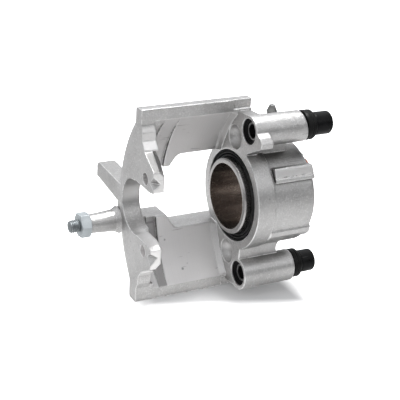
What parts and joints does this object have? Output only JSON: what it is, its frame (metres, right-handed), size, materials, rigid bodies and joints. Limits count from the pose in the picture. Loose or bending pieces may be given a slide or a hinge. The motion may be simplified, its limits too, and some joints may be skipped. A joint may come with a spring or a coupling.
{
  "type": "floating disc brake caliper",
  "caption": "Cast floating brake caliper with a forked claw, an arched bridge, a hollow piston, two rubber-bushed guide bosses, a bleed screw and a side stud with a nut.",
  "frame": {"origin": "on the piston's axis, in the plane of the claw's pad face, where the outer brake pad's back plate rests", "axes": "+X along the piston's axis from the claw to the cylinder; +Y away from the disc's axle, out through the back of the bridge; +Z towards the upper guide boss, up as the part stands"},
  "size_m": [0.1807, 0.118, 0.1496],
  "materials": {
    "casting": "blasted casting, matte, fine grain",
    "piston": "ground outside, dark oxide in the hollow",
    "seal": "matte black",
    "boot": "matte black, folded",
    "bush": "matte black, ribbed",
    "sleeve": "ground",
    "cap": "black, slightly glossy",
    "bleed": "zinc plated",
    "plug": "orange-red, matte",
    "pin": "plain steel",
    "fastener": "bright zinc plated, slightly blue"
  },
  "bodies": {
    "caliper": {"caliper_housing": "casting", "piston_seal": "seal", "dust_boot": "boot", "upper_guide_bush": "bush", "lower_guide_bush": "bush", "upper_end_cap": "cap", "lower_end_cap": "cap", "inlet_plug": "plug", "locating_pin": "pin", "outboard_stud": "fastener", "stud_nut": "fastener"},
    "piston": {"piston": "piston"},
    "upper_sleeve": {"upper_guide_sleeve": "sleeve"},
    "lower_sleeve": {"lower_guide_sleeve": "sleeve"},
    "bleed_screw": {"bleed_screw": "bleed"}
  },
  "joints": [
    {"name": "piston_slide", "type": "slide", "parent": "caliper", "child": "piston", "axis": [-1, 0, 0], "range_m": [0, 0.02], "deforming": ["dust_boot"]},
    {"name": "upper_sleeve_slide", "type": "slide", "parent": "caliper", "child": "upper_sleeve", "axis": [-1, 0, 0], "range_m": [-0.0025, 0.012]},
    {"name": "lower_sleeve_slide", "type": "slide", "parent": "caliper", "child": "lower_sleeve", "axis": [-1, 0, 0], "range_m": [-0.0025, 0.012]},
    {"name": "bleed_screw_turn", "type": "hinge", "parent": "caliper", "child": "bleed_screw", "pos_m": [0.0978, 0.00475, 0.0472], "axis": [0, 0, 1], "range_deg": [0, 180]}
  ]
}
